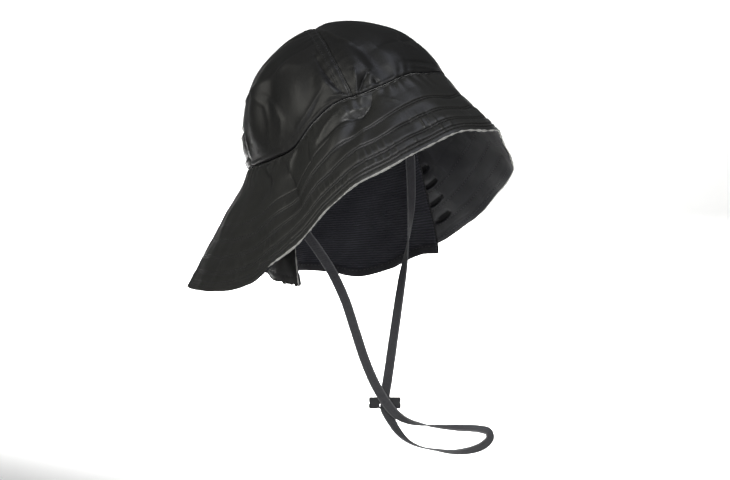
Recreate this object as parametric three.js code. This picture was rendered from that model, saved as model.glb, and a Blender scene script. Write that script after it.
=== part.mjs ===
// A black rain hat of coated cloth: four crown gores, a brim that is short in front and long behind,
// a lined flap over the ears and the neck, and a chin strap with a slider.
// Millimetres, +Z up, the face towards -Y, the wearer's left at +X.
// The origin is the middle of the head opening. The crown and the brim are worked out on a level hat
// and then tipped back. The flap and the strap hang plumb.
import * as THREE from "three";

const DEGREE = Math.PI / 180;

// The head opening is an oval, for a head of about 57 cm round.
const HEAD_LENGTH = 200;
const HEAD_WIDTH = 156;
const TIP_BACK = 32;

// Cloth and the gap that neighbouring pieces keep.
const GORE_CLOTH = 1.5;
const BRIM_CLOTH = 1.2;
const FACING_CLOTH = 1.2;
const FLAP_CLOTH = 1.2;
const LINING_CLOTH = 1.8;
const BINDING_CLOTH = 1;
const GAP = 0.3;

// The apex of the crown, where the four gores meet, and the small hole that they leave there.
const APEX_Y = -11;
const APEX_HEIGHT = 91;
const APEX_HOLE = 1.2;
const GORE_BULGE = 2.5;
const GORE_ROWS = 9;
const GORES = [
  { name: "crown_gore_front", from: -50, to: 50 },
  { name: "crown_gore_right", from: 50, to: 130 },
  { name: "crown_gore_back", from: 130, to: 230 },
  { name: "crown_gore_left", from: 230, to: 310 },
];

// Angles run round the hat from the front, 0, over the wearer's right, 90, to the back, 180.
// The seam between crown and brim dips over the ears and rises behind. Both sides are alike.
const SEAM_ROWS = mirrored([
  { angle: 0, rise: -1 },
  { angle: 15, rise: 1 },
  { angle: 30, rise: -1 },
  { angle: 45, rise: -1 },
  { angle: 60, rise: 2 },
  { angle: 75, rise: -3 },
  { angle: 90, rise: -11 },
  { angle: 105, rise: -7 },
  { angle: 120, rise: 0 },
  { angle: 135, rise: 7 },
  { angle: 150, rise: 12 },
  { angle: 165, rise: 12 },
  { angle: 180, rise: 11 },
]);

// A fullness of 1 makes a round dome, less is boxier and more is flatter.
const DOME_ROWS = mirrored([
  { angle: 0, fullness: 1.37 },
  { angle: 30, fullness: 1.32 },
  { angle: 60, fullness: 1.12 },
  { angle: 90, fullness: 0.88 },
  { angle: 120, fullness: 0.77 },
  { angle: 150, fullness: 0.98 },
  { angle: 180, fullness: 1.03 },
]);

// The brim's length from seam to rim, and its slope under the level of the head opening in degrees.
const BRIM_COLUMNS = 72;
const BRIM_STEPS = 7;
const BRIM_ROWS = ringed([
  { angle: 0, length: 77, slope: 67 },
  { angle: 30, length: 75, slope: 68 },
  { angle: 60, length: 87, slope: 65 },
  { angle: 90, length: 96, slope: 61 },
  { angle: 120, length: 116, slope: 56 },
  { angle: 150, length: 114, slope: 38 },
  { angle: 180, length: 103, slope: 28 },
  { angle: 210, length: 111, slope: 38 },
  { angle: 240, length: 110, slope: 52 },
  { angle: 270, length: 93, slope: 58 },
  { angle: 300, length: 93, slope: 67 },
  { angle: 330, length: 72, slope: 73 },
]);

// Soft folds. Each is a ridge, or a dent where its depth is negative, that runs up a gore or down the brim
// between two shares of the way. Lean is how far it turns round the hat on that way, width its half width.
const CROWN_FOLDS = [
  { angle: 116, lean: -18, from: 0.08, to: 0.62, width: 7, depth: 3 },
  { angle: 104, lean: -14, from: 0.05, to: 0.55, width: 6, depth: -2.5 },
  { angle: 72, lean: -10, from: 0, to: 0.4, width: 6, depth: -2.5 },
  { angle: 38, lean: 4, from: 0, to: 0.42, width: 6, depth: 3 },
  { angle: 28, lean: 6, from: 0, to: 0.36, width: 6, depth: -3 },
  { angle: 24, lean: 0, from: 0.5, to: 0.97, width: 12, depth: 2 },
  { angle: 165, lean: 12, from: 0.05, to: 0.6, width: 8, depth: -2.5 },
  { angle: 205, lean: -10, from: 0.05, to: 0.55, width: 8, depth: 2.5 },
  { angle: 262, lean: 12, from: 0.05, to: 0.6, width: 8, depth: -3 },
  { angle: 322, lean: -6, from: 0, to: 0.45, width: 7, depth: -2.5 },
];
const BRIM_FOLDS = [
  { angle: 42, lean: 22, from: 0.02, to: 0.62, width: 6, depth: -3 },
  { angle: 56, lean: 12, from: 0.05, to: 0.6, width: 6, depth: 2.5 },
  { angle: 96, lean: -4, from: 0.05, to: 0.75, width: 6, depth: -3 },
  { angle: 128, lean: 4, from: 0.1, to: 0.9, width: 9, depth: 2.5 },
  { angle: 172, lean: 6, from: 0.2, to: 1.3, width: 10, depth: -2 },
  { angle: 214, lean: -4, from: 0.1, to: 1.2, width: 9, depth: 2.5 },
  { angle: 258, lean: 8, from: 0.1, to: 1.1, width: 8, depth: -2.5 },
  { angle: 312, lean: -8, from: 0.1, to: 1, width: 8, depth: 2.5 },
];

// The flap hangs inside the opening. Hem is its lowest height, out how far it stands off sideways,
// and forward how far the free ends swing towards the face.
const FLAP_INSET = 4;
const FLAP_COLUMNS = 36;
const FLAP_STEPS = 7;
const FLAP_WAVE = 2;
const FLAP_WAVES = 9;
const BINDING_HEIGHT = 9;
const FLAP_ROWS = [
  { angle: 85, hem: -121, out: 21, forward: 13 },
  { angle: 97, hem: -121, out: 14, forward: 4 },
  { angle: 106, hem: -121, out: 9, forward: 1 },
  { angle: 113, hem: -118, out: 7, forward: 0 },
  { angle: 135, hem: -119, out: 4, forward: 0 },
  { angle: 180, hem: -128, out: 2, forward: 0 },
  { angle: 225, hem: -133.5, out: 3, forward: 0 },
  { angle: 240, hem: -137, out: 6, forward: 0 },
  { angle: 255, hem: -129, out: 10, forward: 2 },
  { angle: 262, hem: -121, out: 14, forward: 4 },
  { angle: 268, hem: -115, out: 17, forward: 8 },
  { angle: 275, hem: -113, out: 21, forward: 13 },
];

// The chin strap is one flat tape from the right temple through the slider, round its loop and back up
// to the left temple. Across runs to the loop's fold, away runs to the wearer's left and back, and turn is
// the twist of the tape: at 0 its face looks to the front right, at 90 it stands on edge.
const STRAP_HEADING = -50;
const STRAP_WIDTH = 8.5;
const STRAP_THICKNESS = 0.8;
const STRAP_FLAT_SHARE = 0.9;
const STRAP_STEPS = 78;
const STRAP_POINTS = [
  { across: -38, away: -58, height: -2, turn: 60 },
  { across: -44, away: -51, height: -33, turn: 30 },
  { across: -44.5, away: -44.5, height: -62, turn: 10 },
  { across: -37, away: -40, height: -82, turn: 10 },
  { across: -26, away: -36.5, height: -98.5, turn: 5 },
  { across: -14.5, away: -32.5, height: -117.5, turn: 0 },
  { across: -3.5, away: -27, height: -142, turn: 0 },
  { across: 5, away: -21.5, height: -169, turn: 0 },
  { across: 13.5, away: -16.5, height: -196, turn: 0 },
  { across: 23, away: -12.5, height: -219, turn: 0 },
  { across: 32, away: -10.5, height: -234.5, turn: 0 },
  { across: 40.5, away: -10.3, height: -244.5, turn: 22 },
  { across: 50, away: -9.5, height: -250.5, turn: 48 },
  { across: 61, away: -9, height: -253.5, turn: 65 },
  { across: 73, away: -8.5, height: -255.4, turn: 90 },
  { across: 92, away: -8, height: -256.9, turn: 112 },
  { across: 113, away: -8, height: -258.2, turn: 122 },
  { across: 120.5, away: -7.5, height: -260.8, turn: 135 },
  { across: 121.7, away: -7.5, height: -266.2, turn: 150 },
  { across: 117, away: -7, height: -272, turn: 160 },
  { across: 108.5, away: -7, height: -276, turn: 150 },
  { across: 93, away: -6.5, height: -278.6, turn: 128 },
  { across: 75, away: -6, height: -276.8, turn: 108 },
  { across: 62, away: -5.5, height: -274.3, turn: 98 },
  { across: 51.6, away: -5.5, height: -269.5, turn: 84 },
  { across: 42.8, away: -5.5, height: -261.2, turn: 55 },
  { across: 36, away: -6, height: -250.5, turn: 30 },
  { across: 31, away: -6.6, height: -240.5, turn: 0 },
  { across: 31, away: -6.8, height: -238.1, turn: 0 },
  { across: 31, away: -9.2, height: -236.1, turn: 0 },
  { across: 31, away: -9.2, height: -233.9, turn: 0 },
  { across: 31, away: -6.8, height: -231.9, turn: 0 },
  { across: 31, away: -6.4, height: -229, turn: 0 },
  { across: 33.5, away: -1.5, height: -214, turn: -4 },
  { across: 39.5, away: 8.5, height: -174, turn: -18 },
  { across: 46, away: 18.5, height: -131.5, turn: -40 },
  { across: 51, away: 25.5, height: -102, turn: -85 },
  { across: 54, away: 32.5, height: -69.5, turn: -140 },
  { across: 54, away: 38.5, height: -42, turn: -165 },
  { across: 52.5, away: 46, height: -8, turn: -200 },
];

// The slider: a flat plate with two slots. The rear run is threaded through them, over the middle bar,
// and the front run lies across its face.
const SLIDER_WIDTH = 27.5;
const SLIDER_HEIGHT = 10;
const SLIDER_THICKNESS = 1.2;
const SLIDER_CORNER = 1.5;
const SLIDER_END_BAR = 7.8;
const SLIDER_EDGE_BAR = 1.3;
const SLIDER_MIDDLE_BAR = 1;
const SLIDER_CORNER_STEPS = 3;
const SLIDER_PLACE = { across: 30.8, away: -8, height: -235 };

const LOOKS = {
  coated: { color: 0x2c2c2b, roughness: 0.32 },
  matt: { color: 0x232326, roughness: 0.85 },
  knit: { color: 0x1c1d21, roughness: 0.95 },
  tape: { color: 0x3a3a3b, roughness: 0.8 },
  plastic: { color: 0x1d1d1e, roughness: 0.45 },
};

// Rows from 0 to 180 become a full ring, the same on both sides.
function mirrored(rows) {
  const others = rows.slice(1, -1).reverse();
  const left = others.map((row) => ({ ...row, angle: 360 - row.angle }));
  return ringed([...rows, ...left]);
}

// A ring's rows are repeated one turn before and after, so that a curve through them closes.
function ringed(rows) {
  const turned = (by) => rows.map((row) => ({ ...row, angle: row.angle + by }));
  return [...turned(-360), ...rows, ...turned(360)];
}

// The value of a column at an angle, on a smooth curve through the rows.
function read(rows, column, angle) {
  const last = rows.length - 1;
  let i = 0;
  while (i < last - 1 && rows[i + 1].angle <= angle) {
    i += 1;
  }
  const before = rows[Math.max(i - 1, 0)];
  const low = rows[i];
  const high = rows[i + 1];
  const after = rows[Math.min(i + 2, last)];
  const width = high.angle - low.angle;
  const t = THREE.MathUtils.clamp((angle - low.angle) / width, 0, 1);
  const lowSlope = ((high[column] - before[column]) / (high.angle - before.angle)) * width;
  const highSlope = ((after[column] - low[column]) / (after.angle - low.angle)) * width;
  const t2 = t * t;
  const t3 = t2 * t;
  return (
    low[column] * (2 * t3 - 3 * t2 + 1) +
    lowSlope * (t3 - 2 * t2 + t) +
    high[column] * (3 * t2 - 2 * t3) +
    highSlope * (t3 - t2)
  );
}

// How far the folds of a table lift the cloth at an angle and a share of the way.
function foldHeight(folds, angle, share) {
  let height = 0;
  for (const fold of folds) {
    const along = (share - fold.from) / (fold.to - fold.from);
    if (along <= 0 || along >= 1) {
      continue;
    }
    const offset = angle - fold.angle - fold.lean * along;
    const aside = (((offset % 360) + 540) % 360) - 180;
    height += fold.depth * Math.sin(Math.PI * along) * Math.exp(-((aside / fold.width) ** 2));
  }
  return height;
}

// The direction away from the head, level with the opening, at right angles to the oval.
function outward(angle) {
  const a = angle * DEGREE;
  return new THREE.Vector3(-Math.sin(a) / HEAD_WIDTH, -Math.cos(a) / HEAD_LENGTH, 0).normalize();
}

function seamPoint(angle) {
  const a = angle * DEGREE;
  const rise = read(SEAM_ROWS, "rise", angle);
  return new THREE.Vector3((-HEAD_WIDTH / 2) * Math.sin(a), (-HEAD_LENGTH / 2) * Math.cos(a), rise);
}

// A point of the crown's outer face: the seam shrinks to the apex as the cosine of the climb, raised to the
// fullness, while the height grows as its sine.
function crownPoint(angle, share, bulge) {
  const seam = seamPoint(angle);
  const fullness = read(DOME_ROWS, "fullness", angle);
  const reach = Math.hypot(seam.x, seam.y - APEX_Y);
  const highest = Math.acos((APEX_HOLE / reach) ** (1 / fullness));
  const climb = share * highest;
  const shrink = Math.cos(climb) ** fullness;
  const lift = Math.sin(climb);
  const point = new THREE.Vector3(
    seam.x * shrink,
    seam.y * shrink + APEX_Y * (1 - shrink),
    seam.z * (1 - lift) + APEX_HEIGHT * lift,
  );
  const raise = foldHeight(CROWN_FOLDS, angle, share) + bulge * Math.sin(Math.PI * share);
  return towardsHead(point, -raise);
}

// A point moved straight towards the middle of the head.
function towardsHead(point, distance) {
  const way = point.clone().setY(point.y - APEX_Y).normalize();
  return point.clone().addScaledVector(way, -distance);
}

// A point of the brim, at a depth under its upper face.
function brimPoint(angle, share, depth) {
  const slope = read(BRIM_ROWS, "slope", angle) * DEGREE;
  const way = share * read(BRIM_ROWS, "length", angle);
  const out = outward(angle);
  const raise = foldHeight(BRIM_FOLDS, angle, share) - depth;
  const point = seamPoint(angle);
  point.z -= GAP;
  point.addScaledVector(out, way * Math.cos(slope) + raise * Math.sin(slope));
  point.z += raise * Math.cos(slope) - way * Math.sin(slope);
  return point;
}

// A point of the flap's outer face at a share of the way down, and at a depth inside it.
function flapPoint(angle, share, depth) {
  const top = seamPoint(angle).addScaledVector(outward(angle), -FLAP_INSET);
  top.applyAxisAngle(new THREE.Vector3(1, 0, 0), -TIP_BACK * DEGREE);
  const hem = read(FLAP_ROWS, "hem", angle);
  const wave = FLAP_WAVE * Math.sin(FLAP_WAVES * angle * DEGREE) * share;
  const stand = read(FLAP_ROWS, "out", angle) * Math.sin((share * Math.PI) / 2) + wave - depth;
  const point = top.addScaledVector(outward(angle), stand);
  point.y -= read(FLAP_ROWS, "forward", angle) * share ** 2;
  point.z = THREE.MathUtils.lerp(point.z, hem, share);
  return point;
}

// A closed body between an outer and an inner sheet of corners. A ring closes on itself.
function sheetBody(columns, rows, ring, corner) {
  const wide = ring ? columns : columns + 1;
  const places = [];
  for (let side = 0; side < 2; side += 1) {
    for (let row = 0; row <= rows; row += 1) {
      for (let column = 0; column < wide; column += 1) {
        places.push(corner(column / columns, row / rows, side));
      }
    }
  }
  const at = (column, row, side) => side * wide * (rows + 1) + row * wide + (column % wide);
  const corners = [];
  const quad = (a, b, c, d) => corners.push(a, b, c, a, c, d);
  for (let column = 0; column < columns; column += 1) {
    for (let row = 0; row < rows; row += 1) {
      quad(at(column, row, 0), at(column + 1, row, 0), at(column + 1, row + 1, 0), at(column, row + 1, 0));
      quad(at(column, row, 1), at(column, row + 1, 1), at(column + 1, row + 1, 1), at(column + 1, row, 1));
    }
    quad(at(column, 0, 0), at(column, 0, 1), at(column + 1, 0, 1), at(column + 1, 0, 0));
    quad(at(column, rows, 0), at(column + 1, rows, 0), at(column + 1, rows, 1), at(column, rows, 1));
  }
  for (let row = 0; row < rows && !ring; row += 1) {
    quad(at(0, row, 0), at(0, row + 1, 0), at(0, row + 1, 1), at(0, row, 1));
    quad(at(columns, row, 0), at(columns, row, 1), at(columns, row + 1, 1), at(columns, row + 1, 0));
  }
  return closedBody(places, corners);
}

// A geometry from corner places and triangles, turned so that its faces look out.
function closedBody(places, corners) {
  let volume = 0;
  for (let i = 0; i < corners.length; i += 3) {
    const [a, b, c] = corners.slice(i, i + 3).map((corner) => places[corner]);
    volume += a.dot(b.clone().cross(c));
  }
  const geometry = new THREE.BufferGeometry().setFromPoints(places);
  geometry.setIndex(volume < 0 ? corners.slice().reverse() : corners);
  geometry.computeVertexNormals();
  return geometry;
}

function mesh(name, geometry, look) {
  const made = new THREE.Mesh(geometry, new THREE.MeshStandardMaterial({ metalness: 0, ...look }));
  made.name = name;
  return made;
}

// One gore of the crown. Its edges stay half a gap off the seam line all the way up.
function goreGeometry(from, to) {
  const columns = ((to - from) * BRIM_COLUMNS) / 360;
  return sheetBody(columns, GORE_ROWS, false, (across, up, side) => {
    const reach = Math.hypot(crownPoint(from, up, 0).x, crownPoint(from, up, 0).y - APEX_Y);
    const edge = GAP / 2 / reach / DEGREE;
    const angle = THREE.MathUtils.lerp(from + edge, to - edge, across);
    const bulge = GORE_BULGE * Math.sin(Math.PI * across);
    return towardsHead(crownPoint(angle, up, bulge), side * GORE_CLOTH);
  });
}

function brimGeometry(depth, cloth) {
  return sheetBody(BRIM_COLUMNS, BRIM_STEPS, true, (round, out, side) =>
    brimPoint(round * 360, out, depth + side * cloth),
  );
}

function flapGeometry(depth, cloth, steps, lowest) {
  const first = FLAP_ROWS[0].angle;
  const last = FLAP_ROWS[FLAP_ROWS.length - 1].angle;
  return sheetBody(FLAP_COLUMNS, steps, false, (round, down, side) => {
    const angle = THREE.MathUtils.lerp(first, last, round);
    const hem = read(FLAP_ROWS, "hem", angle);
    const start = lowest ? 1 - lowest / -hem : 0;
    return flapPoint(angle, THREE.MathUtils.lerp(start, 1, down), depth + side * cloth);
  });
}

// The tape: an eight-sided flat section carried along a curve through the points, turned as they say.
// Its faces are flat over a share of the width, and thin off to the woven edges.
function strapGeometry() {
  const route = STRAP_POINTS.map((p) => new THREE.Vector3(p.across, p.away, p.height));
  const curve = new THREE.CatmullRomCurve3(route, false, "centripetal");
  const half = STRAP_WIDTH / 2;
  const flatHalf = half * STRAP_FLAT_SHARE;
  const flat = STRAP_THICKNESS / 2;
  const section = [
    [-half, 0],
    [-flatHalf, -flat],
    [0, -flat],
    [flatHalf, -flat],
    [half, 0],
    [flatHalf, flat],
    [0, flat],
    [-flatHalf, flat],
  ];
  const away = new THREE.Vector3(0, 1, 0);
  const places = [];
  const corners = [];
  for (let step = 0; step <= STRAP_STEPS; step += 1) {
    const share = (step / STRAP_STEPS) * (STRAP_POINTS.length - 1);
    const here = Math.min(Math.floor(share), STRAP_POINTS.length - 2);
    const turn = THREE.MathUtils.lerp(STRAP_POINTS[here].turn, STRAP_POINTS[here + 1].turn, share - here);
    const middle = curve.getPoint(step / STRAP_STEPS);
    const along = curve.getTangent(step / STRAP_STEPS);
    const broad = new THREE.Vector3().crossVectors(away, along).normalize();
    broad.applyAxisAngle(along, turn * DEGREE);
    const thick = new THREE.Vector3().crossVectors(along, broad);
    for (const [x, y] of section) {
      places.push(middle.clone().addScaledVector(broad, x).addScaledVector(thick, y));
    }
  }
  const sides = section.length;
  for (let step = 0; step < STRAP_STEPS; step += 1) {
    for (let side = 0; side < sides; side += 1) {
      const a = step * sides + side;
      const b = step * sides + ((side + 1) % sides);
      corners.push(a, b, b + sides, a, b + sides, a + sides);
    }
  }
  const end = STRAP_STEPS * sides;
  for (let side = 1; side < sides - 1; side += 1) {
    corners.push(0, side + 1, side, end, end + side, end + side + 1);
  }
  return closedBody(places, corners);
}

function roundedRectangle(shape, x, y, width, height, corner) {
  shape.moveTo(x + corner, y);
  shape.lineTo(x + width - corner, y);
  shape.absarc(x + width - corner, y + corner, corner, -Math.PI / 2, 0);
  shape.lineTo(x + width, y + height - corner);
  shape.absarc(x + width - corner, y + height - corner, corner, 0, Math.PI / 2);
  shape.lineTo(x + corner, y + height);
  shape.absarc(x + corner, y + height - corner, corner, Math.PI / 2, Math.PI);
  shape.lineTo(x, y + corner);
  shape.absarc(x + corner, y + corner, corner, Math.PI, Math.PI * 1.5);
  return shape;
}

function sliderGeometry() {
  const left = -SLIDER_WIDTH / 2;
  const plate = roundedRectangle(
    new THREE.Shape(), left, -SLIDER_HEIGHT / 2, SLIDER_WIDTH, SLIDER_HEIGHT, SLIDER_CORNER,
  );
  const slotWidth = SLIDER_WIDTH - 2 * SLIDER_END_BAR;
  const slotHeight = (SLIDER_HEIGHT - SLIDER_MIDDLE_BAR) / 2 - SLIDER_EDGE_BAR;
  for (const low of [SLIDER_EDGE_BAR - SLIDER_HEIGHT / 2, SLIDER_MIDDLE_BAR / 2]) {
    const start = left + SLIDER_END_BAR;
    plate.holes.push(
      roundedRectangle(new THREE.Path(), start, low, slotWidth, slotHeight, SLIDER_EDGE_BAR / 2),
    );
  }
  const geometry = new THREE.ExtrudeGeometry(plate, {
    depth: SLIDER_THICKNESS,
    bevelEnabled: false,
    curveSegments: SLIDER_CORNER_STEPS,
  });
  return geometry.translate(0, 0, -SLIDER_THICKNESS / 2);
}

const hat = new THREE.Group();

const tipped = new THREE.Group();
tipped.rotation.x = -TIP_BACK * DEGREE;
for (const gore of GORES) {
  tipped.add(mesh(gore.name, goreGeometry(gore.from, gore.to), LOOKS.coated));
}
tipped.add(mesh("brim", brimGeometry(0, BRIM_CLOTH), LOOKS.coated));
tipped.add(mesh("brim_facing", brimGeometry(BRIM_CLOTH + GAP, FACING_CLOTH), LOOKS.matt));
hat.add(tipped);

const liningDepth = FLAP_CLOTH + GAP;
const bindingDepth = liningDepth + LINING_CLOTH + GAP;
hat.add(mesh("neck_flap", flapGeometry(0, FLAP_CLOTH, FLAP_STEPS, 0), LOOKS.coated));
hat.add(mesh("flap_lining", flapGeometry(liningDepth, LINING_CLOTH, FLAP_STEPS, 0), LOOKS.knit));
hat.add(mesh("flap_binding", flapGeometry(bindingDepth, BINDING_CLOTH, 1, BINDING_HEIGHT), LOOKS.matt));

const strap = new THREE.Group();
strap.rotation.z = STRAP_HEADING * DEGREE;
strap.add(mesh("chin_strap", strapGeometry(), LOOKS.tape));
const slider = mesh("strap_slider", sliderGeometry(), LOOKS.plastic);
slider.position.set(SLIDER_PLACE.across, SLIDER_PLACE.away, SLIDER_PLACE.height);
slider.rotation.x = Math.PI / 2;
strap.add(slider);
hat.add(strap);

export default hat;
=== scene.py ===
# %% [markdown]
# # A black rain hat, dressed piece by piece
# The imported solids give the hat's true size and place. This lesson puts cloth, thread, tape and plastic on them.
# Lengths in the tables are millimetres, as a maker would measure them, and one helper turns them to metres.
# The face looks towards -Y and the crown is tipped back over +Y.

# %% Load the solids
import math

import bpy
import numpy as np
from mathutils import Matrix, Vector


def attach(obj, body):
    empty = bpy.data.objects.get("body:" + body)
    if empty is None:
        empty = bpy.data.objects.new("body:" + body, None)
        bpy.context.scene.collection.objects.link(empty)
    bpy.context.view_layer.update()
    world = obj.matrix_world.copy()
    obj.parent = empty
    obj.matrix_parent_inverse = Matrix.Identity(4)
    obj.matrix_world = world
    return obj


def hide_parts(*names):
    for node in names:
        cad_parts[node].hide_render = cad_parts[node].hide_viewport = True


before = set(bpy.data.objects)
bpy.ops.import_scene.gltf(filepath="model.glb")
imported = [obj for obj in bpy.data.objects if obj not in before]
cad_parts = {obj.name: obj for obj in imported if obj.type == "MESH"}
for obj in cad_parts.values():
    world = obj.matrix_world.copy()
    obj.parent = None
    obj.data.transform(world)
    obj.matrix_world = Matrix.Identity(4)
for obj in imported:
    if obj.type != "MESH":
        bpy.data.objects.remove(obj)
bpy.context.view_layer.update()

MM = 0.001
DEGREE = math.pi / 180
PLUMB = np.array([0, 0, 1.0])
print("solids:", sorted(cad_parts))

# %% [markdown]
# ## The camera
# A long lens, far off, keeps the brim's near and far side almost the same size, as on a product photograph.
# The camera stands at the hat's front right, a little above it, and is aimed below the crown so that the chin
# strap stays in the frame.

# %% Camera
AZIMUTH = -50 * DEGREE
ELEVATION = 4.4 * DEGREE
DISTANCE = 2.0
AIM_RIGHT, AIM_DOWN = 0.0137, 0.0938


def in_scene(name, data):
    """A new object in the scene, with a mesh, a light or a lens as its data."""
    made = bpy.data.objects.new(name, data)
    bpy.context.scene.collection.objects.link(made)
    return made


def stand(thing, place, target):
    """Stands a camera or a light at a place and faces it to a target."""
    thing.location = Vector(place)
    thing.rotation_euler = (Vector(target) - Vector(place)).to_track_quat("-Z", "Y").to_euler()


back = np.array([
    math.sin(AZIMUTH) * math.cos(ELEVATION), -math.cos(AZIMUTH) * math.cos(ELEVATION), math.sin(ELEVATION),
])
right = np.array([math.cos(AZIMUTH), math.sin(AZIMUTH), 0.0])
up = np.cross(back, right)
lens = bpy.data.cameras.new("long_lens")
lens.sensor_width = 36
lens.lens = 115.4
camera = in_scene("camera", lens)
stand(camera, back * DISTANCE, right * AIM_RIGHT - up * AIM_DOWN)
bpy.context.scene.camera = camera
print("camera at", (back * DISTANCE).round(3))

# %% [markdown]
# ## Meshes from arrays
# Each piece is a grid of places worked out as whole arrays. One helper puts places and faces into a mesh, and
# turns the faces round if they enclose a negative volume, so that they always look out.

# %% Mesh helpers
UV_UNIT = 100  # mm to one unit of the UV map
SHARP_ANGLE = 50 * DEGREE


def unit(ways):
    """Directions brought to a length of 1."""
    return ways / np.linalg.norm(ways, axis=-1, keepdims=True)


def run(line):
    """The distance along a line up to each of its points."""
    return np.concatenate([[0], np.cumsum(np.linalg.norm(np.diff(line, axis=0), axis=1))])


def cubic(t, first, last, start, end):
    """A smooth curve over t from 0 to 1, from a first to a last value, with given slopes at its start and end."""
    rise = 3 * t**2 - 2 * t**3
    return first * (1 - rise) + last * rise + start * (t**3 - 2 * t**2 + t) + end * (t**3 - t**2)


def bell(distance, width):
    """1 at a distance of 0, fading to both sides as a bell curve."""
    return np.exp(-((distance / width) ** 2))


def wrap(grid):
    """A ring's grid with its first column again at the end."""
    return np.hstack([grid, grid[:, :1]])


def corners(grid):
    """The four corners of every cell of a grid, round the cell."""
    return np.stack([grid[:-1, :-1], grid[:-1, 1:], grid[1:, 1:], grid[1:, :-1]], 2)


def smooth_object(name, places, faces):
    """An object in the scene from places in metres and a list of faces, all shaded smooth."""
    made = bpy.data.meshes.new(name)
    made.from_pydata(places.reshape(-1, 3).tolist(), [], faces)
    made.polygons.foreach_set("use_smooth", np.ones(len(faces), bool))
    return in_scene(name, made)


def put_mesh(name, places, faces, uv, kinds=None):
    """A piece from places in mm, four-cornered faces and a UV pair for each face corner in mm."""
    a, b, c, d = (places[faces[:, k]] for k in range(4))
    if (np.cross(a, b) * c).sum() + (np.cross(a, c) * d).sum() < 0:
        faces, uv = faces[:, ::-1], uv[:, ::-1]
    piece = smooth_object(name, places * MM, faces.tolist())
    layer = piece.data.uv_layers.new(name="cloth")
    layer.data.foreach_set("uv", (uv / UV_UNIT).astype(np.float32).ravel())
    if kinds is not None:
        piece.data.polygons.foreach_set("material_index", kinds.astype(np.int32))
    piece.data.set_sharp_from_angle(angle=SHARP_ANGLE)
    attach(piece, "root")
    print(f"{name}: {2 * len(faces)} triangles")
    return piece


def sheet_mesh(name, outer, inner, measure, ring=False):
    """A closed sheet between an outer and an inner grid of places. Measure holds each grid place's distance
    across and down in mm, with one more column on a ring. Faces of kind 0 are outer, 1 inner and 2 cut edges."""
    rows, columns = outer.shape[:2]
    places = np.concatenate([outer.reshape(-1, 3), inner.reshape(-1, 3)])
    index = np.arange(rows * columns).reshape(rows, columns)
    if ring:
        index = wrap(index)
    other = index + rows * columns
    front, rear, cloth = corners(index), corners(other), corners(measure)
    faces = [front.reshape(-1, 4), rear[..., ::-1].reshape(-1, 4)]
    uvs = [cloth.reshape(-1, 4, 2), cloth[:, :, ::-1].reshape(-1, 4, 2)]
    lines = [(index[0][::-1], other[0][::-1], measure[0][::-1]), (index[-1], other[-1], measure[-1])]
    if not ring:
        lines += [(index[:, 0], other[:, 0], measure[:, 0]), (index[::-1, -1], other[::-1, -1], measure[::-1, -1])]
    for near, far, along in lines:
        faces.append(np.stack([near[:-1], near[1:], far[1:], far[:-1]], 1))
        uvs.append(np.stack([along[:-1], along[1:], along[1:], along[:-1]], 1))
    kinds = np.concatenate([np.full(len(part), min(kind, 2)) for kind, part in enumerate(faces)])
    return put_mesh(name, places, np.concatenate(faces), np.concatenate(uvs), kinds)


def paint_back_as_shade(piece, chosen):
    """Faces of a piece's first side whose grid points are all chosen get its second material, the very dark back,
    laid there as painted shade.
    """
    chosen_face = corners(chosen).all(-1).ravel()
    kinds = np.zeros(len(piece.data.polygons), int)
    piece.data.polygons.foreach_get("material_index", kinds)
    kinds[: len(chosen_face)][chosen_face] = 1
    piece.data.polygons.foreach_set("material_index", kinds)


def sweep_mesh(name, middle, broad, thick, section):
    """A section of (across, out) pairs in mm carried along a path: each ring is the middle plus across times the
    broad direction plus out times the thick direction. Section may differ from ring to ring."""
    rings, sides = len(middle), section.shape[-2]
    section = np.broadcast_to(section, (rings, sides, 2))
    places = middle[:, None] + section[..., :1] * broad[:, None] + section[..., 1:] * thick[:, None]
    index = np.arange(rings * sides).reshape(rings, sides)
    measure = np.stack(np.meshgrid(wrap(section[0, None, :, 0])[0], run(middle)), -1)
    faces, uvs = [corners(wrap(index)).reshape(-1, 4)], [corners(measure).reshape(-1, 4, 2)]
    half = sides // 2
    for ring, turn in ((index[0], -1), (index[-1], 1)):
        other = ring[::-1]
        cap = np.stack([ring[: half - 1], ring[1:half], other[1:half], other[: half - 1]], 1)
        faces.append(cap[:, ::turn])
        uvs.append(np.zeros((half - 1, 4, 2)))
    return put_mesh(name, places.reshape(-1, 3), np.concatenate(faces), np.concatenate(uvs))


# %% [markdown]
# ## The chin strap
# The strap is one woven tape about 0.7 m long. It leaves the hat at the right temple, crosses the slider's face,
# makes its loop, comes back up through the slider's two slots and ends at the left temple. A tape is a flat
# section carried along a line, and it twists, so each point of the line also says how far the tape is turned.
# Its two long edges are thicker, because the weft turns back there.

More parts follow.
